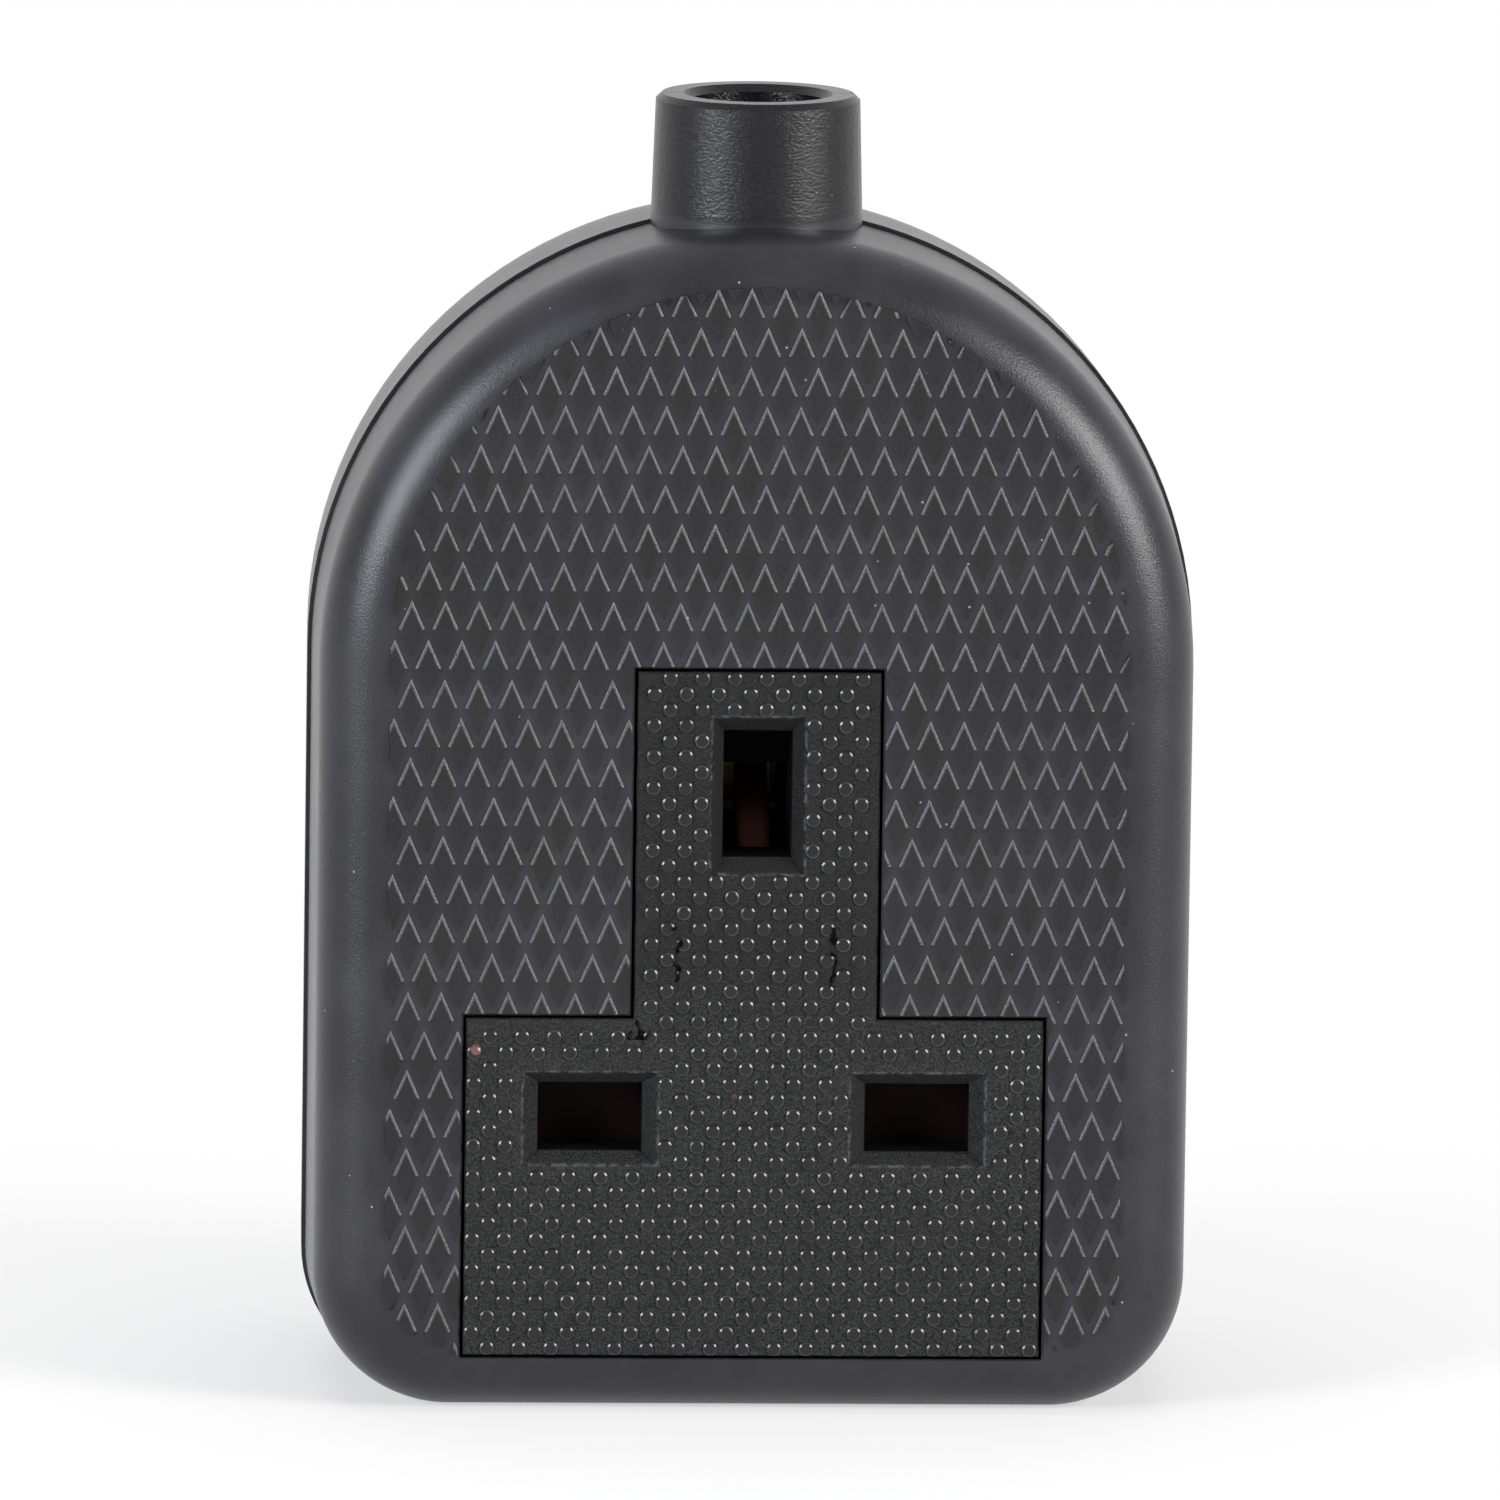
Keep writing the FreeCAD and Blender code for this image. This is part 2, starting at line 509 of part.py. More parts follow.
def shutter():
    """Sliding safety shutter: two wings, a stem, the earth pin's ramp and the spring's hub."""
    bottom = z_at(SHUTTER_BOTTOM)
    top = z_at(SHUTTER_TOP)
    stem = SHUTTER_STEM_WIDTH / 2
    stem_top = z_at(RAMP_FOOT - PLAY)
    body = block(-SHUTTER_HALF, SHUTTER_HALF, SHUTTER_FRONT, SHUTTER_BACK, bottom, top)
    body = body.fuse(block(-stem, stem, SHUTTER_FRONT, SHUTTER_BACK, bottom, stem_top))
    body = body.fuse(block(-HUB_WIDTH / 2, HUB_WIDTH / 2, SHUTTER_FRONT, HUB_DEPTH, bottom, top))
    rise = RAMP_TOP - RAMP_FOOT
    tip = SHUTTER_FRONT + rise
    foot = z_at(RAMP_FOOT)
    side = [
        (SHUTTER_FRONT, foot - SHUTTER_THICK), (SHUTTER_FRONT, foot), (tip, foot + rise),
        (tip + RAMP_TIP, foot + rise), (tip + RAMP_TIP, foot + RAMP_TIP),
        (SHUTTER_BACK, foot - SHUTTER_THICK - RAMP_TIP),
    ]
    corners = [Vector(-RAMP_WIDTH / 2, y_at(d), z) for d, z in side]
    ramp = polygon_face(corners).extrude(Vector(RAMP_WIDTH, 0, 0))
    return body.fuse(ramp).removeSplitter()


def shutter_spring():
    """Coil spring that stands under the shutter's hub."""
    wire_r = SPRING_WIRE / 2
    coil_r = SPRING_R - wire_r
    height = SPRING_LENGTH - SPRING_WIRE
    helix = Part.Wire(Part.makeHelix(height / SPRING_TURNS, height, coil_r))
    turns = [2 * math.pi * i / SPRING_SIDES for i in range(SPRING_SIDES + 1)]
    section = Part.makePolygon([
        Vector(coil_r + wire_r * math.cos(a), 0, wire_r * math.sin(a)) for a in turns])
    spring = helix.makePipeShell([section], True, True)
    spring.translate(Vector(0, y_at(SPRING_DEPTH), z_at(SPRING_BOTTOM) + wire_r))
    return spring


def contact_base():
    """Moulding behind the shutter: front plate, side walls and three chambers for the contacts."""
    plate_back = FLANGE_DEPTH + BASE_PLATE
    body = prism(lapped_tee(FLANGE_LAP), FLANGE_DEPTH, BASE_DEPTH)
    body = body.cut(prism(inner_tee(), plate_back, BASE_DEPTH + EPS))
    long_out = EARTH_CHAMBER_LONG / 2 + CHAMBER_WALL
    earth_z = z_at(EARTH_RISE)
    tubes = [
        (-PIN_SPREAD / 2, z_at(0), CHAMBER / 2, CONTACT_BACK + SEAT),
        (PIN_SPREAD / 2, z_at(0), CHAMBER / 2, CONTACT_BACK + SEAT),
        (0, earth_z, EARTH_CHAMBER_LONG / 2, EARTH_CONTACT_BACK + SEAT),
    ]
    for x, z, half_z, end in tubes:
        outer_z = half_z + CHAMBER_WALL
        body = body.fuse(block(x - CHAMBER_OUT, x + CHAMBER_OUT, FLANGE_DEPTH, end, z - outer_z, z + outer_z))
    channel_half = HUB_WIDTH / 2 + PLAY
    rib_half = channel_half + RIB_WALL
    channel_back = HUB_DEPTH + PLAY
    body = body.fuse(block(-rib_half, rib_half, FLANGE_DEPTH, channel_back + RIB_WALL,
                           z_at(SPRING_BOTTOM) - RIB_WALL, earth_z - long_out + EPS))
    for side in (-1, 1):
        x = side * BASE_SCREW_X
        z = z_at(BASE_SCREW_RISE)
        body = body.fuse(rod(x, z, BASE_BOSS_R, FLANGE_DEPTH, BASE_BOSS_TOP))
        body = body.cut(rod(x, z, BASE_SCREW_R + 2 * THREAD_FIT, FLANGE_DEPTH - EPS, BASE_BOSS_TOP + EPS))
    for x, z, half_z, end in tubes:
        body = body.cut(block(x - CHAMBER / 2, x + CHAMBER / 2, plate_back, end + EPS, z - half_z, z + half_z))
    for x, z, width, height in slots():
        body = body.cut(block(x - width / 2, x + width / 2, FLANGE_DEPTH - EPS, plate_back + EPS,
                              z - height / 2, z + height / 2))
    body = body.cut(spring_channel(FLANGE_DEPTH - EPS, channel_back))
    ramp_half = RAMP_WIDTH / 2 + PLAY
    ramp_back = SHUTTER_FRONT + RAMP_TOP - RAMP_FOOT + RAMP_TIP + PLAY
    ramp_low = z_at(RAMP_FOOT - SHUTTER_TRAVEL - SHUTTER_THICK - RAMP_TIP - PLAY)
    body = body.cut(block(-ramp_half, ramp_half, FLANGE_DEPTH - EPS, ramp_back,
                          ramp_low, z_at(RAMP_TOP + PLAY)))
    return body


def inner_tee():
    """Inside of the contact base's walls."""
    floor = z_at(-FACE_DROP + BASE_WALL)
    return [(x, max(z, floor)) for x, z in tee(FLANGE_LAP - BASE_WALL)]


def folded_strip(points, thickness):
    """Closed outline of a folded metal strip about a centre line, with mitred bends."""
    sides = ([], [])
    last = len(points) - 1
    for i, (a, b) in enumerate(points):
        before = direction(points[max(i - 1, 0)], points[max(i, 1)])
        after = direction(points[min(i, last - 1)], points[min(i + 1, last)])
        normal = (-before[1] - after[1], before[0] + after[0])
        scale = thickness / (normal[0] ** 2 + normal[1] ** 2)
        for sign, side in zip((1, -1), sides):
            side.append((a + sign * scale * normal[0], b + sign * scale * normal[1]))
    return sides[0] + sides[1][::-1]


def direction(start, end):
    """Unit step from one point to another."""
    length = math.hypot(end[0] - start[0], end[1] - start[1])
    return ((end[0] - start[0]) / length, (end[1] - start[1]) / length)


def turned(shape, upright, x, z):
    """Stands a contact's part on its edge for the earth pin, and moves it to its pin."""
    if upright:
        shape.rotate(Vector(0, 0, 0), Vector(0, 1, 0), 90)
    shape.translate(Vector(x, 0, z))
    return shape


def contact(start, back, upright, x, z):
    """Folded brass contact: two leaves with open lips, joined by a web at the back."""
    middle = LEAF_SPACE / 2 + LEAF / 2
    web = back - LEAF / 2
    upper = [(start, middle + LIP_SPREAD), (start + LIP_LENGTH, middle), (web, middle)]
    line = upper + [(d, -h) for d, h in upper[::-1]]
    corners = [Vector(-LEAF_WIDTH / 2, y_at(d), h) for d, h in folded_strip(line, LEAF)]
    strip = polygon_face(corners).extrude(Vector(LEAF_WIDTH, 0, 0))
    return turned(strip, upright, x, z)


def contact_clip(start, back, upright, x, z):
    """Steel clip round a contact's two leaves."""
    inner_h = LEAF_SPACE / 2 + LEAF + CLIP_FIT
    inner_w = LEAF_WIDTH / 2 + CLIP_FIT
    line_h = inner_h + CLIP / 2
    line_w = inner_w + CLIP / 2
    line = [(-LEAF_WIDTH / 2, line_h), (line_w, line_h), (line_w, -line_h), (-LEAF_WIDTH / 2, -line_h)]
    middle = (start + LIP_LENGTH + back - LEAF) / 2
    clip = prism(folded_strip(line, CLIP), middle - CLIP_LENGTH / 2, middle + CLIP_LENGTH / 2)
    return turned(clip, upright, x, z)


def terminal(back, x, z):
    """Brass block behind a contact, with a bore for the conductor and a screw hole from the back."""
    half = TERMINAL / 2
    body = block(x - half, x + half, back, back + TERMINAL_LENGTH, z - half, z + half)
    bore_foot = Vector(x, y_at(back + WIRE_BORE_BACK), z - TERMINAL)
    body = body.cut(Part.makeCylinder(WIRE_BORE_R, 2 * TERMINAL, bore_foot, Vector(0, 0, 1)))
    hole = rod(x, z, TERMINAL_SCREW_R + THREAD_FIT, back + WIRE_BORE_BACK, back + TERMINAL_LENGTH + EPS)
    return body.cut(hole)


def screw(x, z, seat, radius, length, head_r):
    """Slotted screw that goes in from the back, with its head on a seat at this depth."""
    body = rod(x, z, radius, seat - length, seat).fuse(rod(x, z, head_r, seat, seat + HEAD_HEIGHT))
    top = seat + HEAD_HEIGHT
    return body.cut(block(x - head_r, x + head_r, top - DRIVER_SLOT_DEPTH, top + EPS,
                          z - DRIVER_SLOT / 2, z + DRIVER_SLOT / 2))


def cord_clamp():
    """Bar with a saddle that presses the cord into the front cover."""
    end = CLAMP_X + CLAMP_BOSS_R
    bar = block(-end, end, CLAMP_SEAT, CLAMP_SEAT + CLAMP_THICK,
                CLAMP_Z - CLAMP_HEIGHT / 2, CLAMP_Z + CLAMP_HEIGHT / 2)
    corners = [edge for edge in bar.Edges if abs(edge.tangentAt(edge.FirstParameter).y) > 0.5]
    bar = bar.makeFillet(CLAMP_BOSS_R / 2, corners)
    foot = Vector(0, PARTING_Y, CLAMP_Z - CLAMP_HEIGHT)
    bar = bar.cut(Part.makeCylinder(CLAMP_CORD_R, 2 * CLAMP_HEIGHT, foot, Vector(0, 0, 1)))
    for side in (-1, 1):
        bar = bar.cut(rod(side * CLAMP_X, CLAMP_Z, CLAMP_SCREW_R + 2 * THREAD_FIT, CLAMP_SEAT - EPS,
                          CLAMP_SEAT + CLAMP_THICK + EPS))
    return bar


def insert(x, z):
    """Threaded brass insert in a boss of the front cover."""
    body = rod(x, z, INSERT_R, FRONT_DEPTH - INSERT_LENGTH, FRONT_DEPTH - COLLAR_SPLIT)
    return body.cut(rod(x, z, CASING_SCREW_R + THREAD_FIT, 0, DEPTH))


def build():
    """Every piece of the socket, by its name."""
    line_x = PIN_SPREAD / 2
    pins = [
        ("line", CONTACT_START, CONTACT_BACK, False, line_x, z_at(0)),
        ("neutral", CONTACT_START, CONTACT_BACK, False, -line_x, z_at(0)),
        ("earth", EARTH_CONTACT_START, EARTH_CONTACT_BACK, True, 0, z_at(EARTH_RISE)),
    ]
    pieces = {
        "front_cover": front_cover(),
        "back_cover": back_cover(),
        "socket_face": socket_face(),
        "shutter": shutter(),
        "shutter_spring": shutter_spring(),
        "contact_base": contact_base(),
        "cord_clamp": cord_clamp(),
    }
    terminal_screws = []
    for name, start, back, upright, x, z in pins:
        pieces[name + "_contact"] = contact(start, back, upright, x, z)
        pieces[name + "_contact_clip"] = contact_clip(start, back, upright, x, z)
        pieces[name + "_terminal"] = terminal(back, x, z)
        length = TERMINAL_LENGTH - WIRE_BORE_BACK - WIRE_BORE_R
        terminal_screws.append(screw(x, z, back + TERMINAL_LENGTH, TERMINAL_SCREW_R, length, TERMINAL_HEAD_R))
    pieces["terminal_screws"] = Part.makeCompound(terminal_screws)
    pieces["base_screws"] = Part.makeCompound([
        screw(side * BASE_SCREW_X, z_at(BASE_SCREW_RISE), BASE_BOSS_TOP, BASE_SCREW_R,
              BASE_SCREW_LENGTH, BASE_HEAD_R) for side in (-1, 1)])
    pieces["cord_clamp_screws"] = Part.makeCompound([
        screw(side * CLAMP_X, CLAMP_Z, CLAMP_SEAT + CLAMP_THICK, CLAMP_SCREW_R,
              CLAMP_SCREW_LENGTH, CLAMP_HEAD_R) for side in (-1, 1)])
    pieces["casing_screws"] = Part.makeCompound([
        screw(x, z, COUNTERBORE_FLOOR, CASING_SCREW_R, CASING_SCREW_LENGTH, CASING_HEAD_R)
        for x, z in casing_screw_places()])
    pieces["casing_inserts"] = Part.makeCompound([insert(x, z) for x, z in casing_screw_places()])
    return pieces


os.makedirs("parts", exist_ok=True)
for piece_name, piece_shape in build().items():
    piece_shape.exportStep("parts/" + piece_name + ".step")
    print(piece_name, len(piece_shape.Solids), piece_shape.isValid(), round(piece_shape.Volume, 2))
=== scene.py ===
# %% [markdown]
# A heavy-duty trailing socket, moulded in black plastic. The solids come from the packed part, which
# gives every piece its real size and place. This file dresses them: it smooths the moulded covers,
# raises the fine dots on the face, mixes a finish for each material and lights a small white studio.

# %% The packed part
import json
import math

import bmesh
import bpy
from mathutils import Matrix, Vector


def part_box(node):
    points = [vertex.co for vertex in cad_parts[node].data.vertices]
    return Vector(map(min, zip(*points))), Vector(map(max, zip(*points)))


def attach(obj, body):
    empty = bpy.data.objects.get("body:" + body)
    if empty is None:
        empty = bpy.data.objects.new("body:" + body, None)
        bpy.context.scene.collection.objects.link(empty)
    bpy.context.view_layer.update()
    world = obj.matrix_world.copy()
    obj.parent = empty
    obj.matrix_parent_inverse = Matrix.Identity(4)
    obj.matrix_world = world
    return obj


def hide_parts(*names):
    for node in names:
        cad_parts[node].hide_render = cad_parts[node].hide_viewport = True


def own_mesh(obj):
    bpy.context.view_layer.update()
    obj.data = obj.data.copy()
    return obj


MM = 0.001
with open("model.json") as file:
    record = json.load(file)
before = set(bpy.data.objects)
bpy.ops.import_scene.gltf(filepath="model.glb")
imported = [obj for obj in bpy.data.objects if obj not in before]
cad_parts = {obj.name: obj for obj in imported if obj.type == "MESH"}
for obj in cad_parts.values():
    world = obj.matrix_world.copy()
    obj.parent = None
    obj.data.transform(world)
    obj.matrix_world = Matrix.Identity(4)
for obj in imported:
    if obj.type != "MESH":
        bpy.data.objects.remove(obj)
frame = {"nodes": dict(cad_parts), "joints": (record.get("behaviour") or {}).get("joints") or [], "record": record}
nodes = frame["nodes"]
slot_of = {part["node"]: part["material_slot"] for part in frame["record"]["subparts"]}
bodies = frame["record"]["behaviour"]["bodies"]
body_of = {name: body for body, names in bodies.items() for name in names}
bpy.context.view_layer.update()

# %% [markdown]
# The camera stands where the photographer's did. That place was worked out from things of known size
# that lie in one plane, which are the slots, the corners of the T-shaped face and the diamond pattern,
# and from how round the collar's mouth looks. A long lens from 1.4 metres away keeps the sides parallel.

# %% The camera
CAMERA_PLACE = Vector((-0.07228, -1.39417, 0.25982))
CAMERA_TURN = math.radians(2.985)  # to the right of straight ahead
CAMERA_DIP = math.radians(8.840)  # below level
CAMERA_ROLL = math.radians(0.789)
camera_data = bpy.data.cameras.new("camera")
camera_data.sensor_width = 36.0
camera_data.lens = 493.9
camera = bpy.data.objects.new("camera", camera_data)
heading = Matrix.Rotation(-CAMERA_TURN, 4, "Z") @ Matrix.Rotation(math.pi / 2 - CAMERA_DIP, 4, "X")
camera.matrix_world = Matrix.Translation(CAMERA_PLACE) @ heading @ Matrix.Rotation(CAMERA_ROLL, 4, "Z")
bpy.context.scene.collection.objects.link(camera)
bpy.context.scene.camera = camera
bpy.context.scene.view_settings.view_transform = "Standard"
print("camera looks along", (camera.matrix_world.to_3x3() @ Vector((0, 0, -1))).normalized())

# %% [markdown]
# Shader maths reads best as plain arithmetic. A small class wraps a socket, so that an expression such
# as 1 - mask * 0.5 adds the Math nodes for it. A second class holds one material: its node method
# makes any other node, and its feed method joins a value to the main shader.


# %% Arithmetic on sockets
class Wire:
    """A socket's value in an expression. Each operator adds a Math node."""

    def __init__(self, tree, socket):
        self.tree = tree
        self.socket = socket

    def math(self, operation, *values):
        node = self.tree.nodes.new("ShaderNodeMath")
        node.operation = operation
        for pin, value in zip(node.inputs, values):
            join(self.tree, pin, value)
        return Wire(self.tree, node.outputs[0])

    def __add__(self, other):
        return self.math("ADD", self, other)

    def __sub__(self, other):
        return self.math("SUBTRACT", self, other)

    def __rsub__(self, other):
        return self.math("SUBTRACT", other, self)

    def __mul__(self, other):
        return self.math("MULTIPLY", self, other)

    def above(self, limit):
        return self.math("GREATER_THAN", self, limit)

    def larger(self, other):
        return self.math("MAXIMUM", self, other)

    def size(self):
        return self.math("ABSOLUTE", self)

    def root(self):
        return self.math("SQRT", self)


def join(tree, pin, value):
    """Links a wire to a socket, or writes a plain value in it."""
    if isinstance(value, Wire):
        tree.links.new(value.socket, pin)
    else:
        pin.default_value = value


print("wire methods:", [name for name in vars(Wire) if not name.startswith("__")])


# %% One material and its nodes
class Finish:
    """A material with one main shader. The constants are written on the shader's own sockets."""

    def __init__(self, name, **constants):
        self.material = bpy.data.materials.new(name)
        self.material.use_nodes = True
        self.tree = self.material.node_tree
        self.shader = self.tree.nodes["Principled BSDF"]
        for words, value in constants.items():
            self.shader.inputs[words.replace("_", " ")].default_value = value
        self.place = self.node("ShaderNodeTexCoord", out="Object")

    def node(self, kind, settings=None, out=0, **pins):
        """Makes a node, sets it up, joins its inputs, and returns one of its outputs."""
        node = self.tree.nodes.new(kind)
        for key, value in (settings or {}).items():
            setattr(node, key, value)
        for words, value in pins.items():
            join(self.tree, node.inputs[words.replace("_", " ")], value)
        return Wire(self.tree, node.outputs[out])

    def feed(self, pin, value):
        join(self.tree, self.shader.inputs[pin], value)

    def axis(self, letter):
        """One object coordinate, in metres."""
        return self.node("ShaderNodeSeparateXYZ", out=letter, Vector=self.place)

    def noise(self, size, detail=2.0, rough=0.5, stretch=(1, 1, 1)):
        """Cloudy noise from 0 to 1 whose blobs are about this many millimetres across."""
        vector = self.node("ShaderNodeMapping", Vector=self.place, Scale=stretch)
        return self.node("ShaderNodeTexNoise", Vector=vector,
                         Scale=1 / (size * MM), Detail=detail, Roughness=rough)

    def ramp(self, value, low, high):
        """Rises smoothly from 0 at low to 1 at high."""
        return self.node("ShaderNodeMapRange", {"interpolation_type": "SMOOTHSTEP"},
                         Value=value, From_Min=low, From_Max=high)

    def specks(self, cell, radius, share):
        """Small round specks: one cell in so many holds one, of about this radius in millimetres."""
        cells = {"Vector": self.place, "Scale": 1 / (cell * MM)}
        near = self.node("ShaderNodeTexVoronoi", {"feature": "F1"}, out="Distance", **cells)
        tint = self.node("ShaderNodeTexVoronoi", {"feature": "F1"}, out="Color", **cells)
        pick = self.node("ShaderNodeSeparateColor", out="Red", Color=tint)
        return (1 - self.ramp(near, 0.6 * radius / cell, radius / cell)) * pick.above(1 - share)

    def mix(self, factor, first, second):
        """Blends two colours."""
        node = self.tree.nodes.new("ShaderNodeMix")
        node.data_type = "RGBA"
        join(self.tree, node.inputs["Factor"], factor)
        join(self.tree, node.inputs[6], first)
        join(self.tree, node.inputs[7], second)
        return Wire(self.tree, node.outputs[2])

    def bump(self, height, depth):
        """Dents the surface by up to this many millimetres."""
        self.feed("Normal", self.node("ShaderNodeBump", out="Normal", Height=height,
                                      Distance=depth * MM, Strength=1.0))


print("finish methods:", [name for name in dir(Finish) if not name.startswith("_")])

# %% [markdown]
# The studio is a white sweep. The floor near the socket is a real pale surface, so it keeps the
# socket's shadow. Further out it turns into plain white, as a photographer's overexposed paper does,
# and so does the world behind it. What the camera or a reflection sees as white adds no light to the
# socket, because only those rays meet it.

# %% The floor
FLOOR_RADIUS = 3.0
SHADOW_RADIUS = 0.12  # past it, the sheet is as white as it gets
SHEET_WHITE = 0.55  # share of plain white that the camera sees under the socket
GLOSSY_WHITE = 0.75  # how much of that white a reflection sees
floor_mesh = bpy.data.meshes.new("floor")
shape = bmesh.new()
bmesh.ops.create_circle(shape, cap_ends=True, segments=64, radius=FLOOR_RADIUS)
shape.to_mesh(floor_mesh)
shape.free()
floor = bpy.data.objects.new("floor", floor_mesh)
bpy.context.scene.collection.objects.link(floor)
paper = Finish("paper", Base_Color=(0.86, 0.86, 0.86, 1), Roughness=0.9)
paper.shader.inputs["Specular IOR Level"].default_value = 0.1
away = paper.node("ShaderNodeVectorMath", {"operation": "LENGTH"}, out="Value", Vector=paper.place)
rays = {key: paper.node("ShaderNodeLightPath", out=key)
        for key in ("Is Camera Ray", "Is Glossy Ray", "Is Transmission Ray")}
reflected = rays["Is Glossy Ray"] * GLOSSY_WHITE
seen = rays["Is Camera Ray"].larger(rays["Is Transmission Ray"]).larger(reflected)
white = paper.node("ShaderNodeEmission", out="Emission", Color=(1, 1, 1, 1), Strength=1.0)
main = Wire(paper.tree, paper.shader.outputs[0])
faded = paper.ramp(away, 0.3 * SHADOW_RADIUS, SHADOW_RADIUS) * (1 - SHEET_WHITE) + SHEET_WHITE
sheet = paper.tree.nodes.new("ShaderNodeMixShader")
for pin, wire in zip(sheet.inputs, (seen * faded, main, white)):
    join(paper.tree, pin, wire)
paper.tree.links.new(sheet.outputs[0], paper.tree.nodes["Material Output"].inputs["Surface"])
floor_mesh.materials.append(paper.material)
print("floor radius", FLOOR_RADIUS)

# %% The world and the lamps
AMBIENT = 0.20  # what lights dull surfaces
FRONT_GLOW = 0.5  # what polished surfaces mirror in front of the socket
BACK_GLOW = 0.95  # and behind it
world = bpy.data.worlds.new("studio")
bpy.context.scene.world = world
world.use_nodes = True
sky = world.node_tree
back = sky.nodes["Background"]
back.inputs["Color"].default_value = (1, 1, 1, 1)
path = sky.nodes.new("ShaderNodeLightPath")
compass = sky.nodes.new("ShaderNodeTexCoord")
parts = sky.nodes.new("ShaderNodeSeparateXYZ")
sky.links.new(compass.outputs["Generated"], parts.inputs["Vector"])
behind = sky.nodes.new("ShaderNodeMapRange")
for pin, value in {"Value": Wire(sky, parts.outputs["Y"]), "From Min": -0.2, "From Max": 0.7,
                   "To Min": FRONT_GLOW, "To Max": BACK_GLOW}.items():
    join(sky, behind.inputs[pin], value)
mirrored = Wire(sky, path.outputs["Is Glossy Ray"]) * (Wire(sky, behind.outputs[0]) - AMBIENT) + AMBIENT
join(sky, back.inputs["Strength"], mirrored.larger(Wire(sky, path.outputs["Is Camera Ray"])))


LAMP_TARGET = Vector((0, 0, 45 * MM))  # the middle of the socket


def softbox(name, turn, rise, distance, width, height, power, tint=(1, 1, 1)):
    """Rectangular lamp that looks at the socket, from so many degrees to the right and up."""
    turn, rise = math.radians(turn), math.radians(rise)
    direction = (math.sin(turn) * math.cos(rise), -math.cos(turn) * math.cos(rise), math.sin(rise))
    data = bpy.data.lights.new(name, "AREA")
    data.shape = "RECTANGLE"
    data.size = width
    data.size_y = height
    data.energy = power
    data.color = tint
    lamp = bpy.data.objects.new(name, data)
    aim = Vector(direction).normalized()
    facing = aim.to_track_quat("Z", "Y").to_matrix().to_4x4()
    lamp.matrix_world = Matrix.Translation(LAMP_TARGET + aim * distance) @ facing
    bpy.context.scene.collection.objects.link(lamp)
    return lamp


softbox("left_softbox", -51, 17, 0.9, 0.32, 0.34, 6.8, (0.90, 0.925, 1.0))
softbox("right_softbox", 57, 19, 0.9, 0.36, 0.36, 7.7, (1.0, 0.985, 0.975))
overhead = softbox("top_softbox", 180, 84, 1.1, 0.9, 0.9, 7.0)
overhead.visible_glossy = False

# %% [markdown]
# The covers are moulded in a tough black plastic. Straight from the mould it has a fine satin skin
# with faint clouds in it. The raised pads are darker, with duller smears where hands have worn them.
# The collar comes from a spark-eroded part of the mould, so it is speckled. Dust sits here and there.

# %% Casing plastic
PAD_TOP_Y = -20.0 * MM
PAD_FOOT_Y = -19.75 * MM  # the ground between the pads
COLLAR_FOOT_Z = 81.0 * MM
casing = Finish("casing_plastic", IOR=1.46)
collar = casing.ramp(casing.axis("Z"), COLLAR_FOOT_Z - 0.3 * MM, COLLAR_FOOT_Z + 0.3 * MM)
pads = (1 - casing.ramp(casing.axis("Y"), PAD_TOP_Y + 0.02 * MM, PAD_FOOT_Y - 0.03 * MM)) * (1 - collar)
clouds = casing.ramp(casing.noise(9, 4.0, 0.6), 0.35, 0.7)
smears = casing.ramp(casing.noise(2.6, 2.0, stretch=(1, 0.3, 0.7)), 0.5, 0.68) * pads
dust = casing.specks(1.6, 0.10, 0.25)
plain = casing.mix(clouds, (0.014, 0.014, 0.0172, 1), (0.023, 0.023, 0.0285, 1))
darker = casing.mix((pads * 0.75).larger(collar * 0.9), plain, (0.004, 0.004, 0.005, 1))
worn = casing.mix(smears * 0.7, darker, (0.0035, 0.0035, 0.001, 1))
casing.feed("Base Color", casing.mix(dust * 0.7, worn, (0.35, 0.35, 0.34, 1)))
casing.feed("Roughness", clouds * 0.05 + 0.27 + smears * 0.05 - collar * 0.05)
skin = casing.noise(0.15, 3.0, 0.7)
sparked = casing.noise(0.22, 2.0, 0.6)
casing.bump(skin * (pads * 0.5 + 0.5) + sparked * collar * 0.9, 0.05)
pitted = casing.ramp(casing.noise(0.25, 2.0, 0.6), 0.35, 0.65)
casing.feed("Metallic", collar * pitted * 0.22)  # black and metallic at once, so it mirrors less
print("casing nodes:", len(casing.tree.nodes))

# %% [markdown]
# The T-shaped face is a harder plastic, less blue and darker than the covers. Its ground is matt, and
# it has rows of small polished dots whose rims are painted pale in patches as a painted highlight. Each
# dot mirrors both lamps as a pair of sparks. Use has left dark scuffs and pink stains, which the dots
# share. A pale, patchy line round each slot's sloping frame is a painted highlight. Past the slots'
# frames the plastic is darkened with painted shade, as deep places look, and so is the T's stem, a little.

# %% Marks of use on the face
SLOT_LINE = 20.4 * MM  # height of the line and neutral slots
PIN_SPREAD = 11.115  # from the middle to each of these slots, in millimetres
EARTH_RISE = 22.23  # and up to the earth slot
SCUFF_BLACK = (0.001, 0.001, 0.001, 1)
STAIN_PINK = (0.16, 0.075, 0.065, 1)
STAIN_RED = (0.14, 0.045, 0.035, 1)


def streak(finish, x, z, length, wander=0.5, width=0.14):
    """Mask of a thin broken mark that wanders down the face from a point, all in millimetres."""
    drift = (finish.noise(1.1) - 0.5) * (3 * wander * MM)
    aside = (finish.axis("X") - x * MM + drift).size()
    along = finish.axis("Z") - (SLOT_LINE + (z - length / 2) * MM)
    inside = 1 - finish.ramp(along.size(), 0.46 * length * MM, 0.5 * length * MM)
    gaps = finish.ramp(finish.noise(0.8), 0.36, 0.46)
    return (1 - finish.ramp(aside, 0.5 * width * MM, 1.6 * width * MM)) * inside * gaps


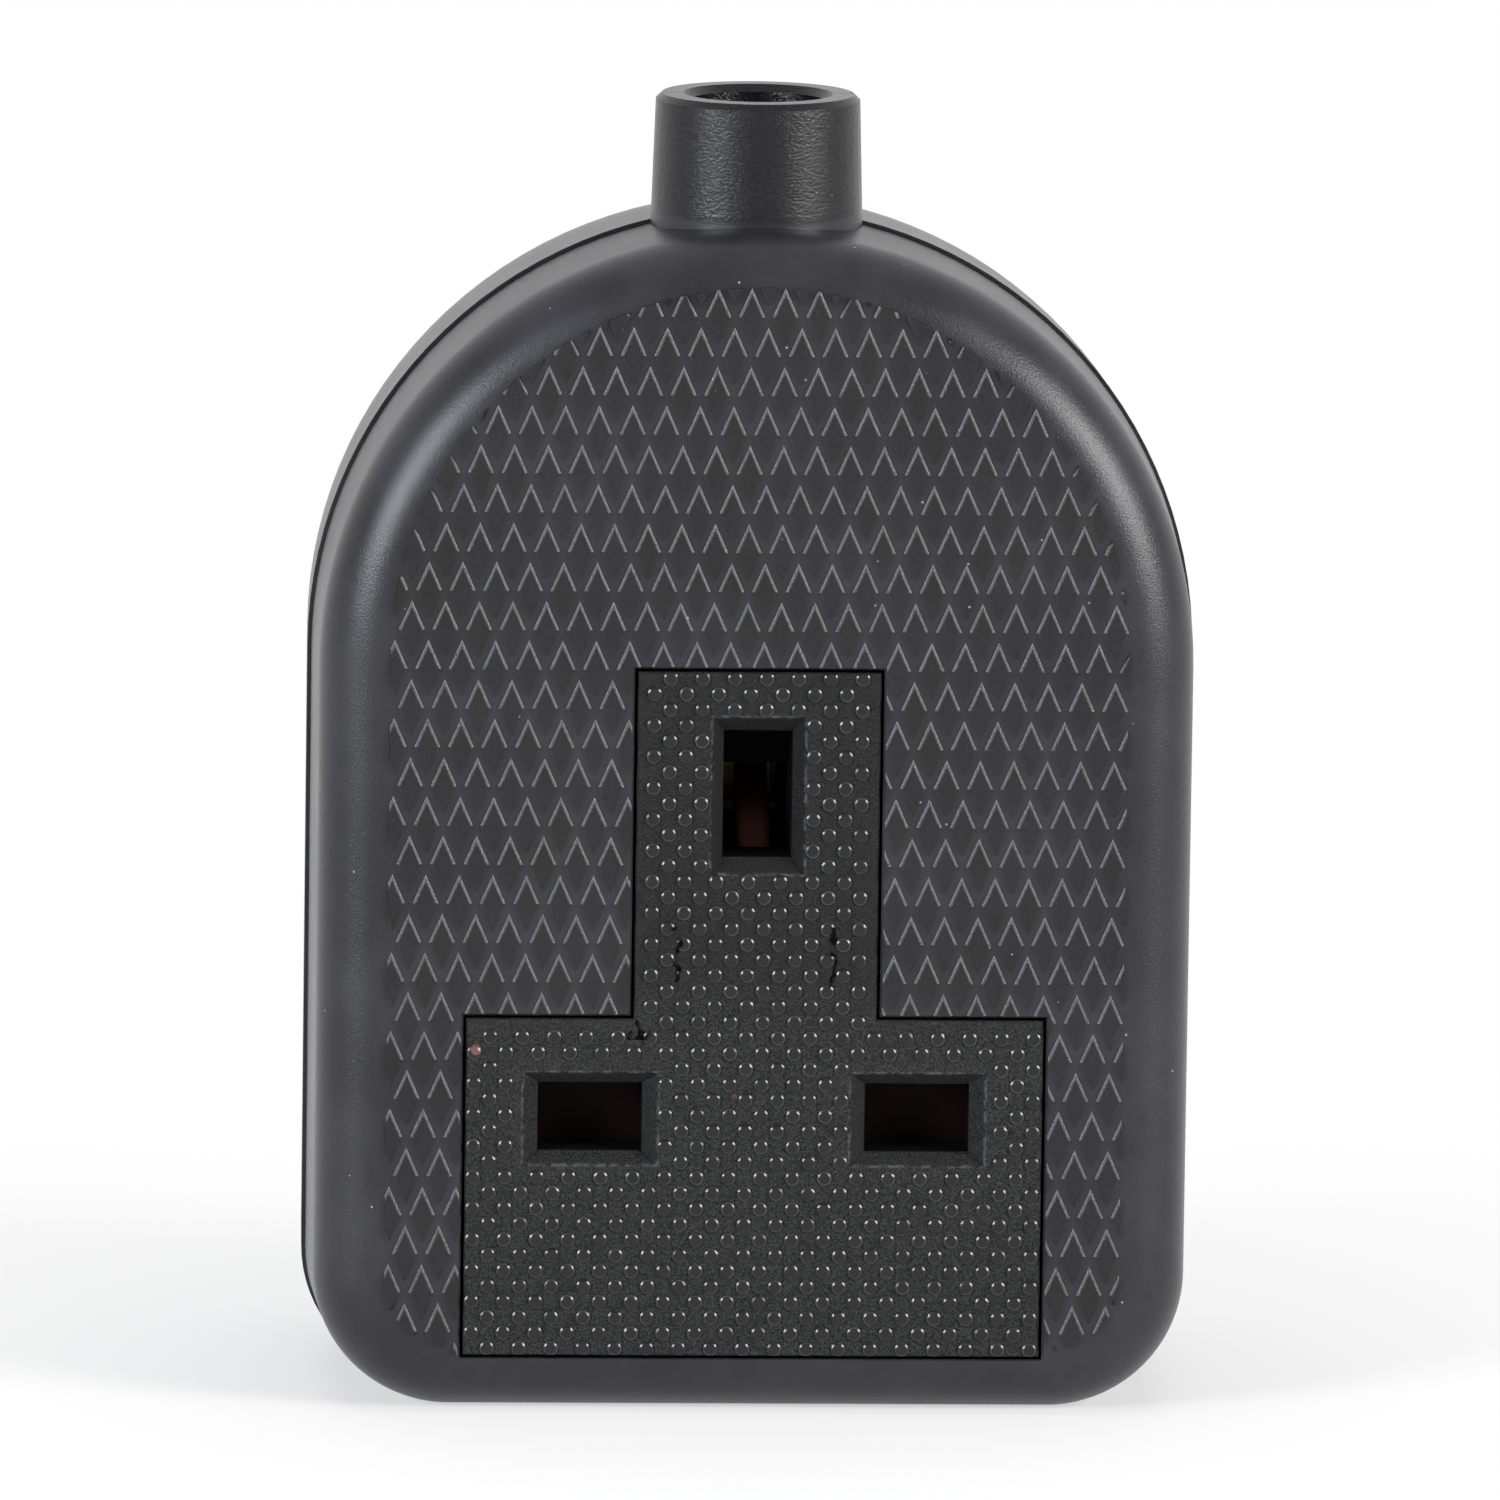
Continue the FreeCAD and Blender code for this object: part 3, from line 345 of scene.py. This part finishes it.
def spot(finish, x, z, radius):
    """Mask of a round stain, in millimetres from the middle of the slot line."""
    aside = finish.axis("X") - x * MM
    along = finish.axis("Z") - (SLOT_LINE + z * MM)
    away = (aside * aside + along * along).root()
    return 1 - finish.ramp(away, 0.7 * radius * MM, radius * MM)


def frame_edge_highlight(finish, x, z, half_width, half_height):
    """Mask of the pale, patchy painted highlight that runs round a slot's sloping frame."""
    across = (finish.axis("X") - x * MM).size() - half_width * MM
    along = (finish.axis("Z") - (SLOT_LINE + z * MM)).size() - half_height * MM
    patchy = finish.ramp(finish.noise(0.5, 3.0), 0.42, 0.62)
    return (1 - finish.ramp(across.larger(along).size(), 0.02 * MM, 0.16 * MM)) * patchy


def stained(finish, colour):
    """A colour with the scuffs and stains that the face and its dots share, and the scuffs' mask.

    A scuff is black and metallic at once, which is how the main shader mirrors nothing."""
    scuffs = streak(finish, -5.35, 13.3, 4.6).larger(streak(finish, 5.25, 13.4, 4.4))
    scuffs = scuffs.larger(streak(finish, -7.8, 6.8, 1.4, 1.4, 0.3))
    dark = finish.mix(scuffs, colour, SCUFF_BLACK)
    pink = finish.mix(spot(finish, -18.93, 4.73, 0.42) * 0.8, dark, STAIN_PINK)
    return finish.mix(spot(finish, -1.35, 1.55, 0.22) * 0.6, pink, STAIN_RED), scuffs


print("marks are placed from the slot line at", SLOT_LINE)

# %% Face plastic
face = Finish("face_plastic", IOR=1.32)
mottle = face.noise(1.1, 3.0)
speckle = face.ramp(face.noise(0.10, 1.0), 0.36, 0.68)
speckled = face.mix(speckle, (0.002, 0.0022, 0.0022, 1), (0.030, 0.0305, 0.030, 1))
ground, scuffs = stained(face, speckled)
# Painted highlight: a pale, patchy line round each slot's sloping frame.
frame_highlight = frame_edge_highlight(face, -PIN_SPREAD, 0, 4.6, 3.2).larger(frame_edge_highlight(face, PIN_SPREAD, 0, 4.6, 3.2))
frame_highlight = frame_highlight.larger(frame_edge_highlight(face, 0, EARTH_RISE, 3.2, 5.4))
# Painted shade: the T's stem is darkened a little, and past the slots' sloping frames the face goes near black and
# mirrors less.
upper = face.ramp(face.axis("Z"), 26 * MM, 32 * MM)  # the T's stem
deep = face.ramp(face.axis("Y"), -18.7 * MM, -18.3 * MM)  # past the slots' sloping frames
shaded = face.mix((upper * 0.55).larger(deep), ground, (0.003, 0.003, 0.003, 1))
# The pale colour mixed in here is the painted highlight round the slots' frames.
face.feed("Base Color", face.mix(frame_highlight * 0.8, shaded, (0.085, 0.085, 0.09, 1)))
face.feed("Roughness", mottle * 0.16 + 0.36 + deep * 0.3)
face.feed("Metallic", (scuffs * 0.85).larger(deep * 0.6))
face.bump(face.noise(0.14, 3.0, 0.7), 0.14)
print("face nodes:", len(face.tree.nodes))

# %% Dot plastic
dot_finish = Finish("dot_plastic", IOR=1.45)
crowns = dot_finish.mix(dot_finish.noise(1.2), (0.002, 0.002, 0.002, 1), (0.007, 0.0075, 0.007, 1))
# Painted highlight: the dots' walls and slopes, all but the flat tops, are painted pale in patches to stand for
# the lit rings round their edges.
rims = dot_finish.ramp(dot_finish.axis("Y"), -19.925 * MM, -19.900 * MM)  # all but the flat tops
rims = rims * dot_finish.ramp(dot_finish.noise(1.4, 3.0), 0.30, 0.70)
top, scuffs = stained(dot_finish, dot_finish.mix(rims, crowns, (0.045, 0.045, 0.046, 1)))
dot_finish.feed("Base Color", top)
dulled = dot_finish.ramp(dot_finish.noise(1.7, 1.0), 0.52, 0.72)
dot_finish.feed("Roughness", dulled * 0.2 + 0.15)
dot_finish.feed("Metallic", scuffs * 0.85)
dot_finish.bump(dot_finish.noise(0.3), 0.02)
print("dot nodes:", len(dot_finish.tree.nodes))

# %% [markdown]
# Inside are a dull black moulding and a dark red-brown shutter. The foot of the shutter's ramp, where it
# shows through the earth slot, is painted brighter as painted light. The contacts are brass, the clips dark
# spring steel, and the screws plated. Metal is never even: drawn brass has faint streaks and stains, and
# plating has small bright and dull patches. Every solid takes the finish of its material slot.

# %% Inner plastics
inner = Finish("inner_plastic", Specular_IOR_Level=0.2)
inner.feed("Base Color", inner.mix(inner.noise(2.5),
                                   (0.004, 0.004, 0.004, 1), (0.007, 0.007, 0.0065, 1)))
inner.feed("Roughness", inner.noise(1.5) * 0.15 + 0.5)
inner.bump(inner.noise(0.25), 0.02)
shutter_finish = Finish("shutter_plastic", Specular_IOR_Level=0.05)
shutter_rise = shutter_finish.axis("Z")
ramp_foot = 1 - shutter_finish.ramp(shutter_rise, 37.8 * MM, 41.8 * MM)
# Painted light: the middle of the ramp's foot, above the wings, is painted brighter where it shows through the
# earth slot.
painted_light_foot = (1 - shutter_finish.ramp(shutter_finish.axis("X").size(), 0.5 * MM, 1.3 * MM)) * ramp_foot
moulded = shutter_finish.mix(shutter_finish.noise(3),
                             (0.0085, 0.0038, 0.0021, 1), (0.0145, 0.0062, 0.0034, 1))
above_wings = shutter_finish.ramp(shutter_rise, 36 * MM, 37 * MM)
shutter_finish.feed("Base Color", shutter_finish.mix(painted_light_foot * above_wings, moulded,
                                                     (0.24, 0.105, 0.075, 1)))
shutter_finish.feed("Roughness", shutter_finish.noise(1.5) * 0.15 + 0.45)
shutter_finish.bump(shutter_finish.noise(0.4), 0.01)
print("inner plastics ready")

# %% Metals
brass = Finish("brass", Metallic=1.0)
stain = brass.ramp(brass.noise(3.5, 3.0), 0.5, 0.75)
brass.feed("Base Color", brass.mix(stain, (0.44, 0.30, 0.125, 1), (0.24, 0.16, 0.065, 1)))
brass.feed("Roughness", brass.noise(0.5, stretch=(1, 0.1, 1)) * 0.15 + 0.28 + stain * 0.1)
brass.bump(brass.noise(0.3, stretch=(1, 0.1, 1)), 0.01)
steel = Finish("plated_steel", Metallic=1.0)
dull = steel.noise(1.8, 3.0)
steel.feed("Base Color", steel.mix(dull, (0.66, 0.66, 0.64, 1), (0.52, 0.52, 0.50, 1)))
steel.feed("Roughness", dull * 0.2 + 0.2)
steel.bump(steel.noise(0.3), 0.008)
spring_steel = Finish("spring_steel", Metallic=1.0)
spring_steel.feed("Base Color", spring_steel.mix(spring_steel.noise(1.5, 3.0),
                                                 (0.10, 0.10, 0.105, 1), (0.05, 0.05, 0.06, 1)))
spring_steel.feed("Roughness", spring_steel.noise(0.8) * 0.2 + 0.35)
finishes = {"casing": casing, "face": face, "inner_moulding": inner, "shutter": shutter_finish,
            "brass": brass, "steel": steel}
print("finishes:", sorted(finishes))

# %% Dressing the solids
for name, node in nodes.items():
    node.data.materials.clear()
    finish = spring_steel if name.endswith("_clip") else finishes[slot_of[name]]
    node.data.materials.append(finish.material)
print("dressed:", len(nodes))

# %% [markdown]
# A solid arrives as loose flat triangles, so its rounded rims would show facets. A copy with its
# doubles merged can be shaded smooth, apart from true corners, which stay sharp. The pads' sides get
# normals of their own: on the moulding their edges are slightly rounded, so they catch the lamps.

# %% Smooth copies of the moulded pieces
CORNER = math.radians(22)  # anything sharper than this is a true corner
PAD_FIT = 0.01 * MM
PAD_SIDES = (0.3, 0.9)  # how squarely a pad's side faces the viewer: a flat part would give 1
LEAN_AT_TOP = 1.0
LEAN_AT_FOOT = 0.65


def smoothed(name):
    """Merged and smoothly shaded copy that stands for a solid."""
    mesh = nodes[name].data.copy()
    shape = bmesh.new()
    shape.from_mesh(mesh)
    bmesh.ops.remove_doubles(shape, verts=shape.verts, dist=0.0005 * MM)
    for edge in shape.edges:
        edge.smooth = edge.is_manifold and edge.calc_face_angle(math.pi) < CORNER
    for side in shape.faces:
        side.smooth = True
    shape.to_mesh(mesh)
    shape.free()
    copy = bpy.data.objects.new(name + "_smooth", mesh)
    bpy.context.scene.collection.objects.link(copy)
    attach(copy, body_of[name])
    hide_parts(name)
    return copy


def soften_pads(piece):
    """Leans the shading of the pads' steep sides towards the viewer, as their rounded edges do."""
    mesh = piece.data
    leaning = [Vector((0, 0, 0))] * len(mesh.loops)
    for side in mesh.polygons:
        corners = [mesh.vertices[index].co for index in side.vertices]
        front, back = min(corner.y for corner in corners), max(corner.y for corner in corners)
        on_a_pad = front < PAD_TOP_Y + PAD_FIT and back < PAD_FOOT_Y + PAD_FIT
        if on_a_pad and PAD_SIDES[0] < -side.normal.y < PAD_SIDES[1]:
            for loop, corner in zip(side.loop_indices, corners):
                lean = LEAN_AT_TOP if corner.y < (PAD_TOP_Y + PAD_FOOT_Y) / 2 else LEAN_AT_FOOT
                leaning[loop] = (side.normal + Vector((0, -lean, 0))).normalized()
    mesh.normals_split_custom_set(leaning)
    return sum(1 for normal in leaning if normal.length > 0)


def squash_spring(piece):
    """Works out the share of its length that the spring keeps as the shutter slides down on it, and gives the
    spring a mesh of its own. The spring is not shortened.
    """
    foot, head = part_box("shutter_spring")
    slide = [joint for joint in frame["joints"] if joint["name"] == "shutter_slide"][0]
    travel = max(abs(end) for end in slide["range_m"])
    keep = (head.z - foot.z - travel) / (head.z - foot.z)
    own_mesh(piece)
    print("spring keeps", round(keep, 3), "of its length")


for name in ("front_cover", "back_cover", "socket_face",
             "shutter_spring", "cord_clamp", "casing_screws"):
    piece = smoothed(name)
    print(piece.name, "faces", len(piece.data.polygons))
    if name == "front_cover":
        print("softened corners:", soften_pads(piece))
    if name == "shutter_spring":
        squash_spring(piece)

# %% [markdown]
# The face's dots are low discs a millimetre across, in rows that are staggered like the spots on a
# five. The sloping frames round the slots have none, and the T's edges trim those that they meet. Two
# cones, a steep one and a sloping one on it, make one dot, and a loop sets out all of them.

# %% Where the dots go
DOT_PITCH_X = 2.172 * MM
DOT_PITCH_Z = 2.144 * MM
DOT_FIRST = (0.487 * MM, 0.24 * MM)  # from the middle of the slot line
DOT_RADIUS = 0.50 * MM
DOT_SHOULDER = 0.485 * MM
DOT_TOP_RADIUS = 0.365 * MM
DOT_WALL = 0.11 * MM  # height of the steep wall
DOT_SLOPE = 0.07 * MM  # and of the slope on it, up to the flat top
DOT_ROOT = 0.05 * MM  # how far a dot's foot is sunk
DOT_SEGMENTS = 16
DOT_CORNER = math.radians(25)
EDGE_MARGIN = 0.06 * MM  # between a trimmed dot and the face's edge
LEAD_ENDS = 1.05 * MM  # a slot's sloping frame at its ends
LEAD_SIDES = 0.85 * MM  # and along its sides
STEM_HALF = 16.5 / 2 * MM
FOOT_HALF = 39.2 / 2 * MM
STEM_TOP = SLOT_LINE + 30.68 * MM
SHOULDER = SLOT_LINE + 6.86 * MM
FOOT_BOTTOM = SLOT_LINE - 16.33 * MM
FACE_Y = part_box("socket_face")[0].y
openings = {box["name"]: box["box_m"] for box in frame["record"]["physics"]["openings"]}
frames = []
for name in ("line_slot", "neutral_slot", "earth_slot"):
    first, last = openings[name]
    wide = last[0] - first[0] > last[2] - first[2]
    grow_x, grow_z = (LEAD_ENDS, LEAD_SIDES) if wide else (LEAD_SIDES, LEAD_ENDS)
    frames.append((first[0] - grow_x, last[0] + grow_x, first[2] - grow_z, last[2] + grow_z))


def on_face(x, z):
    """Whether a dot has room at this place on the T. The edges may trim it by a part of its radius."""
    edge = 0.5 * DOT_RADIUS
    in_foot = abs(x) < FOOT_HALF - edge and FOOT_BOTTOM + edge < z < SHOULDER - edge
    in_stem = abs(x) < STEM_HALF - edge and SHOULDER - 2 * edge < z < STEM_TOP - edge
    gap = 0.95 * DOT_RADIUS
    clear = all(not (x0 - gap < x < x1 + gap and z0 - gap < z < z1 + gap) for x0, x1, z0, z1 in frames)
    return (in_foot or in_stem) and clear


places = []
for step in range(-40, 41):
    for rise in range(-40, 41):
        x = DOT_FIRST[0] + step * DOT_PITCH_X / 2
        z = SLOT_LINE + DOT_FIRST[1] + rise * DOT_PITCH_Z / 2
        if (step + rise) % 2 == 0 and on_face(x, z):
            places.append((x, z))
print("dots:", len(places), "on the face at y", FACE_Y)

# %% The dots
shape = bmesh.new()
upright = Matrix.Rotation(math.radians(90), 4, "X")
rings = [(FACE_Y + DOT_ROOT, FACE_Y - DOT_WALL, DOT_RADIUS, DOT_SHOULDER),
         (FACE_Y - DOT_WALL, FACE_Y - DOT_WALL - DOT_SLOPE, DOT_SHOULDER, DOT_TOP_RADIUS)]
for x, z in places:
    for foot, head, wide, narrow in rings:
        place = Matrix.Translation((x, (foot + head) / 2, z)) @ upright
        bmesh.ops.create_cone(shape, cap_ends=False, segments=DOT_SEGMENTS, radius1=wide, radius2=narrow,
                              depth=foot - head, matrix=place)
bmesh.ops.remove_doubles(shape, verts=shape.verts, dist=0.002 * MM)
crown = FACE_Y - DOT_WALL - DOT_SLOPE + 0.001 * MM
rims = [edge for edge in shape.edges if edge.is_boundary and edge.verts[0].co.y < crown]
bmesh.ops.holes_fill(shape, edges=rims, sides=DOT_SEGMENTS)
for vert in shape.verts:
    half = (FOOT_HALF if vert.co.z < SHOULDER else STEM_HALF) - EDGE_MARGIN
    roof = (SHOULDER if abs(vert.co.x) > STEM_HALF else STEM_TOP) - EDGE_MARGIN
    vert.co.x = max(-half, min(half, vert.co.x))
    vert.co.z = max(FOOT_BOTTOM + EDGE_MARGIN, min(roof, vert.co.z))
for edge in shape.edges:
    edge.smooth = not edge.is_manifold or edge.calc_face_angle() < DOT_CORNER
for side in shape.faces:
    side.smooth = True
dot_mesh = bpy.data.meshes.new("face_dots")
shape.to_mesh(dot_mesh)
shape.free()
dot_mesh.materials.append(dot_finish.material)
dots = bpy.data.objects.new("face_dots", dot_mesh)
bpy.context.scene.collection.objects.link(dots)
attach(dots, body_of["socket_face"])
print("dot faces:", len(dot_mesh.polygons))
